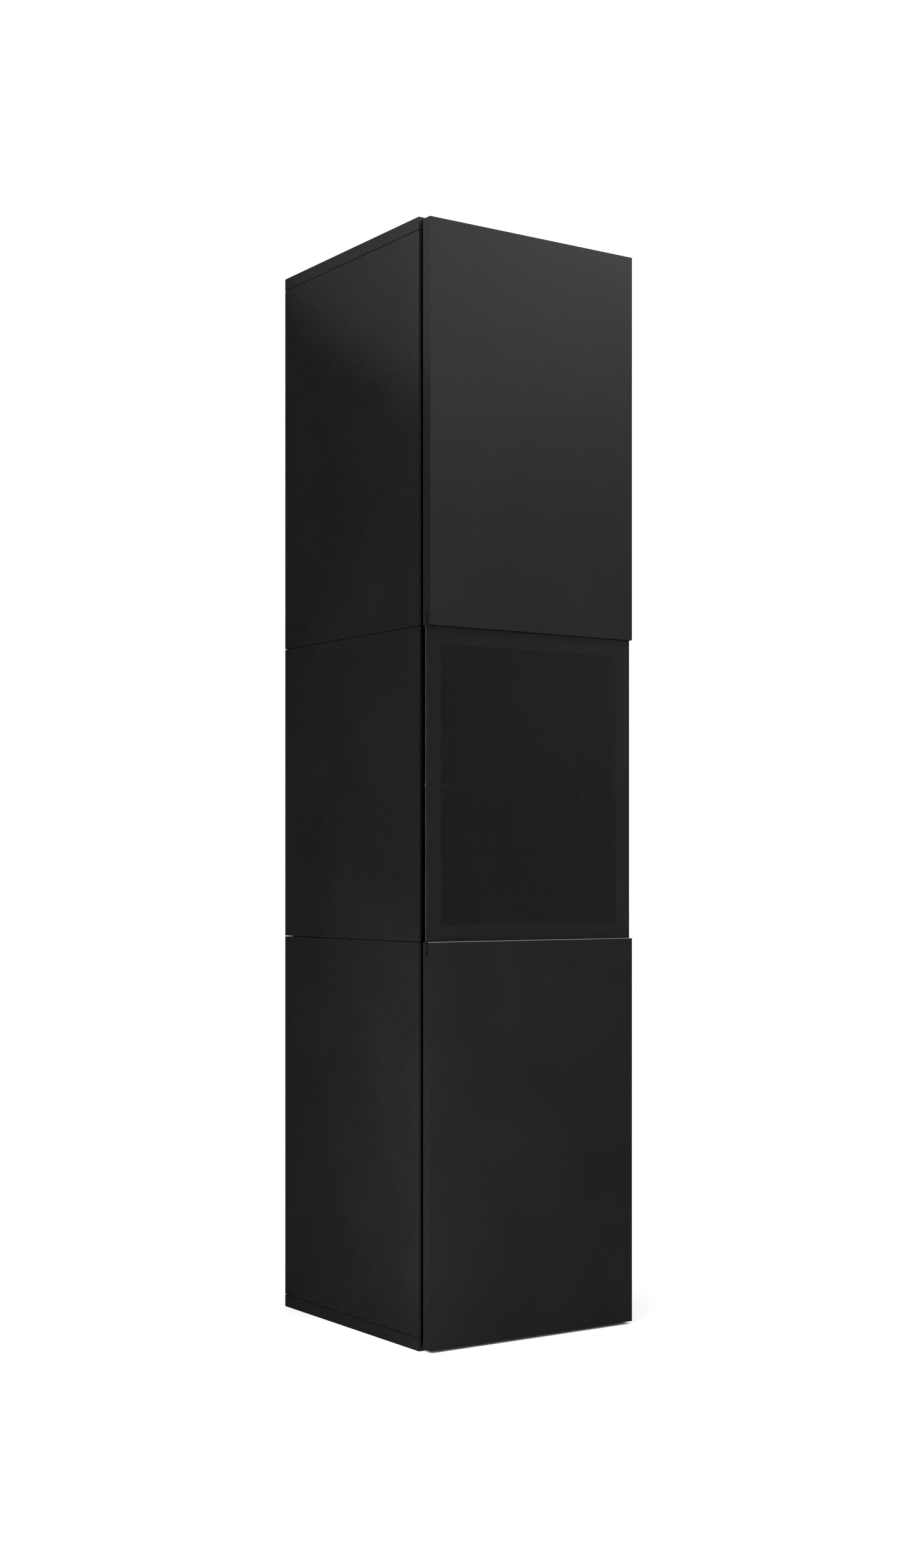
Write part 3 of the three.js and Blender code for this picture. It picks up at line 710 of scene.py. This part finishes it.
def add_shelf_pins():
    """Turned pins with a collar and rounded end, in place of the frame's."""
    out, wall = SHELF_PIN_OUT, SHELF_PIN_IN_WALL
    profile = [
        (0, -wall), (2.0, -wall), (2.4, 0.6 - wall), (2.4, 0.1), (4, 0.1), (4, 0.9), (3.7, 1.2),
        (2.4, 1.2), (2.4, out - 1), (2.1, out - 0.4), (1.4, out), (0, out),
    ]
    mesh = mesh_of(turned(profile, 36), "shelf_pin", STEEL)
    for name in nodes_named("shelf_pin"):
        low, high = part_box(name)
        _, y, z = middle_of(name)
        if "_left_" in name:
            matrix = facing((low.x + wall * MM, y, z), (1, 0, 0))
        else:
            matrix = facing((high.x - wall * MM, y, z), (-1, 0, 0))
        finer = place(f"{name}_turned", mesh, CASE, matrix)
        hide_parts(name)


def add_latch_plungers():
    """Plungers with a domed tip, in place of the frame's."""
    for name in nodes_named("latch_plunger"):
        low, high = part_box(name)
        length = (high.y - low.y) / MM
        radius = (high.x - low.x) / 2 / MM
        profile = [
            (0, 0), (1.2, 0.1), (2.1, 0.6), (2.5, 1.4), (2.6, 2.6), (radius, 3.0),
            (radius, length - 0.5), (radius - 0.5, length), (0, length),
        ]
        x, _, z = middle_of(name)
        rod = mesh_of(turned(profile, 36), f"{name}_rod", PLASTIC)
        finer = place(rod.name, rod, name, facing((x, low.y, z), (0, 1, 0)))
        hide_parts(name)


def add_latch_screws():
    """Two small screws in each latch housing and two in each strike plate."""
    for name in nodes_named("latch_housing"):
        low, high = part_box(name)
        x = middle_of(name)[0]
        level = last_word(name)
        z, out = (high.z, (0, 0, 1)) if level == "lower" else (low.z, (0, 0, -1))
        from_front, from_rear = LATCH_SCREWS
        for end, y in (("front", low.y + from_front * MM), ("rear", high.y - from_rear * MM)):
            add_screw(f"latch_screw_{level}_{end}", (x, y, z), out, CASE, SMALL_SCREW)
    for name in nodes_named("strike_plate"):
        x, _, z = middle_of(name)
        for end, step in (("low", -STRIKE_SCREW_STEP), ("high", STRIKE_SCREW_STEP)):
            at = (x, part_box(name)[1].y, z + step * MM)
            add_screw(f"strike_screw_{last_word(name)}_{end}", at, (0, 1, 0), DOOR, SMALL_SCREW)


def add_hanger_covers():
    """A moulded cap over the front of each hanger, with its two adjusting screws."""
    for name in nodes_named("hanger"):
        low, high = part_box(name)
        side = last_word(name)
        less_width, less_height = COVER_MARGINS
        width, height = (high.x - low.x) / MM - less_width, (high.z - low.z) / MM - less_height
        outline = rounded_outline(width, height, COVER_CORNER)
        cover = slab(outline, 0, COVER_THICKNESS, COVER_EDGE)
        mesh = mesh_of(cover, f"hanger_cover_{side}", PLASTIC)
        x, _, z = middle_of(name)
        place(mesh.name, mesh, CASE, facing((x, low.y, z), (0, -1, 0)))
        for level, step in (("low", -COVER_SCREW_STEP), ("high", COVER_SCREW_STEP)):
            at = (x, low.y - COVER_THICKNESS * MM, z + step * MM)
            add_screw(f"hanger_screw_{side}_{level}", at, (0, -1, 0), CASE)


def add_cam_caps():
    """Flat caps over the cam fittings: near the ends of the side walls and under the dividers."""
    profile = [(0, 0), (8.5, 0), (8.5, 0.3), (8.1, 0.7), (7.2, 0.85), (0, 0.9)]
    mesh = mesh_of(turned(profile, 48), "cam_cap", PLASTIC)
    inward = CAP_FROM_ENDS * MM
    low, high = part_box("divider_lower")
    rows = (("front", low.y + CAP_FROM_FACES * MM), ("rear", high.y - CAP_FROM_FACES * MM))
    for side, direction in (("left", 1), ("right", -1)):
        upper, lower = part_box(f"side_{side}_upper"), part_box(f"side_{side}_lower")
        face = lower[1].x if side == "left" else lower[0].x
        for end, z in (("bottom", lower[0].z + inward), ("top", upper[1].z - inward)):
            for row, y in rows:
                matrix = facing((face, y, z), (direction, 0, 0))
                place(f"cam_cap_{side}_{end}_{row}", mesh, CASE, matrix)
    for name in nodes_named("divider"):
        low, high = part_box(name)
        for side, x in (("left", low.x + inward), ("right", high.x - inward)):
            for row, y in rows:
                matrix = facing((x, y, low.z), (0, 0, -1))
                place(f"cam_cap_{name}_{side}_{row}", mesh, CASE, matrix)


add_camera()
dress_nodes()
add_printed_border()
add_ledge_painted_highlight()
add_painted_shade_lines()
add_door_buffers()
add_hinge_cups()
add_hinge_screws()
add_shelf_pins()
add_latch_plungers()
add_latch_screws()
add_hanger_covers()
add_cam_caps()
add_lights()
add_floor(floor_paint())
